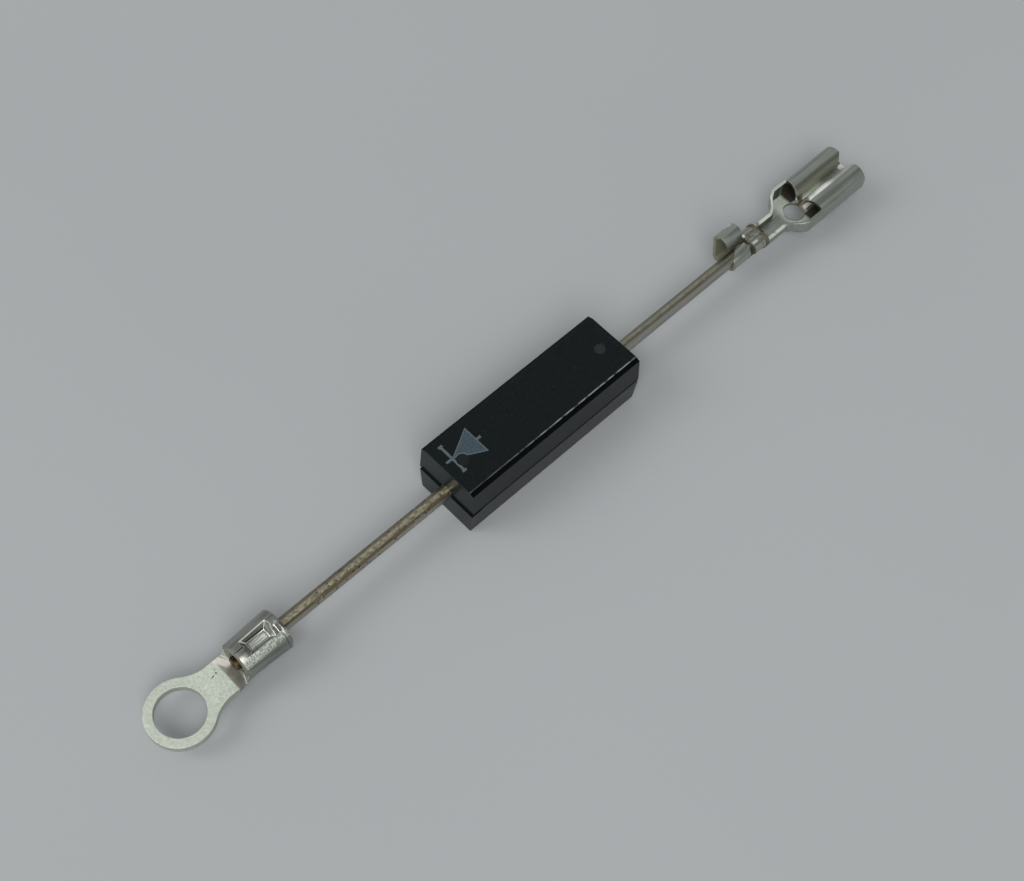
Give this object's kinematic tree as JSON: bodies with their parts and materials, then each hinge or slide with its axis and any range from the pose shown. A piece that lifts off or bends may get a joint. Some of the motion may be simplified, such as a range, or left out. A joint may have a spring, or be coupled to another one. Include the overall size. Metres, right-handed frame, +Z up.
{
  "type": "high-voltage diode",
  "caption": "High-voltage rectifier diode of a microwave oven: a moulded block with axial leads, a crimped ring terminal on the cathode and a push-on tab receptacle on the anode.",
  "frame": {"origin": "on the block's flat base, which lies on the surface, under the middle of the block and the line of the leads", "axes": "+X along the leads from the ring terminal to the receptacle, +Z up"},
  "size_m": [0.0922, 0.0074, 0.0066],
  "materials": {
    "moulding": "moulded black epoxy, slightly glossy",
    "silicon": "bare silicon with solder between the dice",
    "lead_wire": "tinned copper, dull and drawn lengthwise",
    "ring_plate": "bright tin plate over copper",
    "receptacle_plate": "tin plate over brass, bare at the sheared edges"
  },
  "bodies": {
    "root": {"body_moulding": "moulding", "silicon_stack": "silicon", "cathode_lead": "lead_wire", "anode_lead": "lead_wire", "ring_terminal": "ring_plate", "tab_receptacle": "receptacle_plate"}
  },
  "joints": []
}
